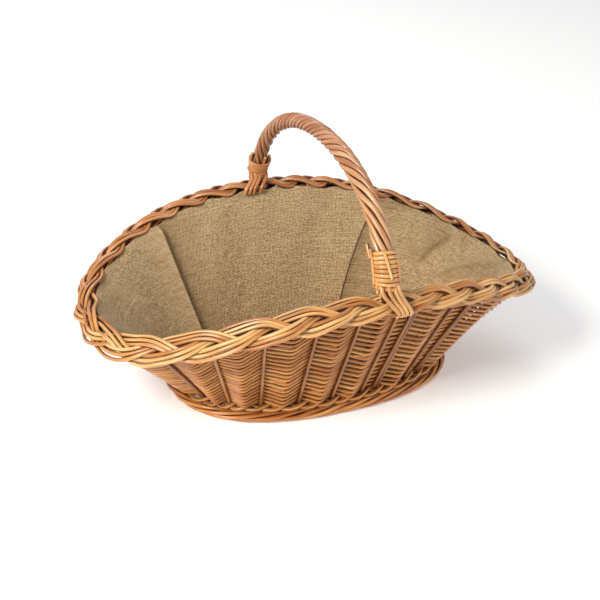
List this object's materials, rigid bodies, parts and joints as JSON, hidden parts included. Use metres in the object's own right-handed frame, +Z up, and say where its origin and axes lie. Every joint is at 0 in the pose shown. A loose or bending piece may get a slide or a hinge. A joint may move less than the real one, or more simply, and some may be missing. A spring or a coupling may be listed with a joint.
{
  "type": "woven fruit basket",
  "caption": "Oval woven willow basket with flared sides, a plaited rim that dips towards the ends, a fixed wrapped hoop handle across the middle and a sewn hessian lining.",
  "frame": {"origin": "centre of the whole basket's outline in plan, in the plane the foot ring stands on; the foot ring's own centre is 3.9 mm towards +Y", "axes": "+X along the basket's length, +Y across it towards the far foot of the handle, +Z up"},
  "size_m": [0.5952, 0.3957, 0.3248],
  "materials": {
    "willow": "satin",
    "willow_dark": "satin",
    "hessian": "matte"
  },
  "bodies": {
    "root": {"base_cross_sticks": "willow_dark", "base_long_sticks": "willow_dark", "base_weave": "willow", "foot_border": "willow", "stakes": "willow_dark", "lower_wale": "willow", "side_weave": "willow", "upper_wale": "willow_dark", "rim_strand_1": "willow", "rim_strand_2": "willow", "rim_strand_3": "willow", "handle_bow": "willow_dark", "handle_rope": "willow", "binding_near": "willow", "binding_far": "willow", "tails_near": "willow", "tails_far": "willow", "lining_floor": "hessian", "lining_front": "hessian", "lining_back": "hessian", "lining_left": "hessian", "lining_right": "hessian"}
  },
  "joints": []
}
